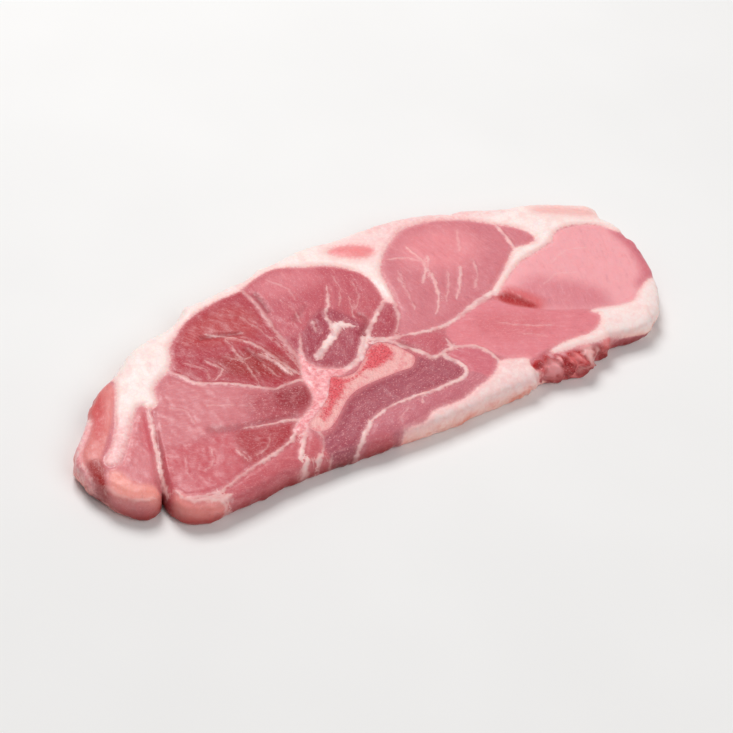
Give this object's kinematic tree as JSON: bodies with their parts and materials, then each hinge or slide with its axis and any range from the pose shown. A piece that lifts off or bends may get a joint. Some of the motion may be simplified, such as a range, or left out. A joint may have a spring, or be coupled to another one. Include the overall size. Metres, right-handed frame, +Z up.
{
  "type": "raw pork steak",
  "caption": "Raw bone-in pork shoulder slice lying flat: lean muscles round a sawn blade bone, with a fat cap, fat strips and a small end lobe.",
  "frame": {"origin": "centre of the slice's box, on its flat underside", "axes": "+X along the slice from the small lobe to the broad end, +Y towards the fat cap, +Z up through the slice"},
  "size_m": [0.2619, 0.1107, 0.0119],
  "materials": {
    "lean": "wet raw meat, satin with soft highlights",
    "fat": "soft raw fat, creamy white, satin",
    "bone": "sawn raw bone, pale rim round red marrow"
  },
  "bodies": {
    "root": {"lean_meat": "lean", "fat_cap": "fat", "fat_strip_front": "fat", "fat_patch_broad_end": "fat", "blade_bone": "bone"}
  },
  "joints": []
}
